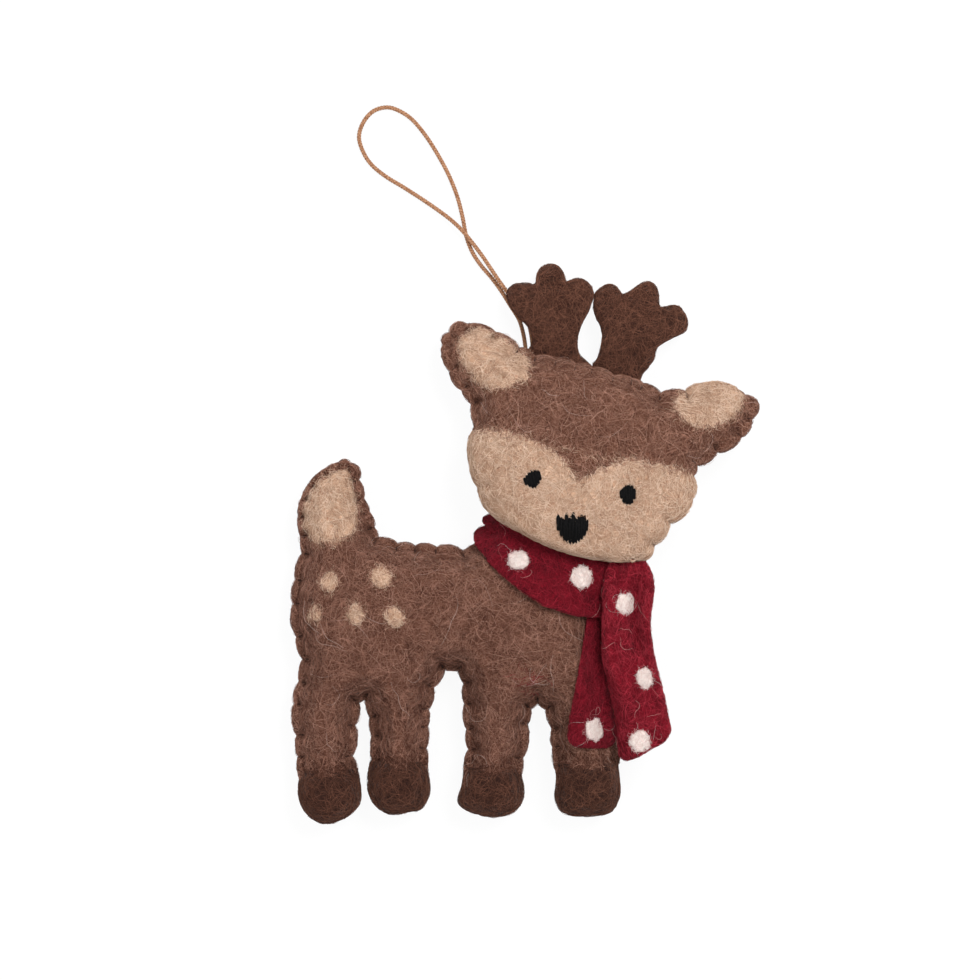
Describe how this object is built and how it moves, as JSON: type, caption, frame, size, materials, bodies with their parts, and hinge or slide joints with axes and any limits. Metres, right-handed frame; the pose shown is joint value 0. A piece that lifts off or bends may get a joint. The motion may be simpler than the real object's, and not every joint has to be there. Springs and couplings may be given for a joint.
{
  "type": "felt reindeer ornament",
  "caption": "Stuffed felt reindeer with antlers, cream face patch, spotted red scarf with loose tails, and a cord loop for hanging.",
  "frame": {"origin": "on the surface that the ornament lies on, under the middle of its outline without the cord", "axes": "+Z out of its front, +Y towards its antlers, +X the way it faces"},
  "size_m": [0.1064, 0.166, 0.026],
  "materials": {
    "body_felt": "brown wool felt",
    "head_felt": "brown wool felt",
    "antler_felt": "thick dark brown wool felt",
    "hoof_wool": "dark needle-felted wool",
    "cream_wool": "cream needle-felted wool",
    "scarf_felt": "dark red wool felt",
    "dot_wool": "white needle-felted wool",
    "filling": "white fibre filling",
    "black_thread": "black embroidery thread",
    "brown_thread": "brown sewing thread",
    "cord": "tan twisted cord"
  },
  "bodies": {
    "root": {"band_dot_1": "dot_wool", "band_dot_2": "dot_wool", "body_back_panel": "body_felt", "body_front_panel": "body_felt", "body_seam_thread": "brown_thread", "cord_stitch": "brown_thread", "face_patch": "cream_wool", "fold_dot": "dot_wool", "fore_inner_hoof": "hoof_wool", "fore_inner_leg_filling": "filling", "fore_outer_hoof": "hoof_wool", "fore_outer_leg_filling": "filling", "hanging_cord": "cord", "head_back_panel": "head_felt", "head_filling": "filling", "head_front_panel": "head_felt", "head_seam_thread": "brown_thread", "hind_inner_hoof": "hoof_wool", "hind_inner_leg_filling": "filling", "hind_outer_hoof": "hoof_wool", "hind_outer_leg_filling": "filling", "left_antler": "antler_felt", "left_ear_lining": "cream_wool", "left_eye": "black_thread", "neck_filling": "filling", "neck_stitch_1": "brown_thread", "neck_stitch_2": "brown_thread", "neck_stitch_3": "brown_thread", "neck_stitch_4": "brown_thread", "nose": "black_thread", "right_antler": "antler_felt", "right_ear_lining": "cream_wool", "right_eye": "black_thread", "rump_spot_1": "cream_wool", "rump_spot_2": "cream_wool", "rump_spot_3": "cream_wool", "rump_spot_4": "cream_wool", "rump_spot_5": "cream_wool", "scarf_band": "scarf_felt", "scarf_fold": "scarf_felt", "tail_filling": "filling", "tail_lining": "cream_wool", "torso_filling": "filling"},
    "front_tail": {"scarf_front_tail": "scarf_felt", "front_tail_dot_1": "dot_wool", "front_tail_dot_2": "dot_wool"},
    "back_tail": {"scarf_back_tail": "scarf_felt", "back_tail_dot": "dot_wool"}
  },
  "joints": [
    {"name": "front_tail_lift", "type": "hinge", "parent": "root", "child": "front_tail", "pos_m": [0.0235, -0.0171, 0.0198], "axis": [-1, 0, 0], "range_deg": [0, 80]},
    {"name": "back_tail_lift", "type": "hinge", "parent": "root", "child": "back_tail", "pos_m": [0.0155, -0.0171, 0.0192], "axis": [-1, 0, 0], "range_deg": [0, 70]}
  ]
}
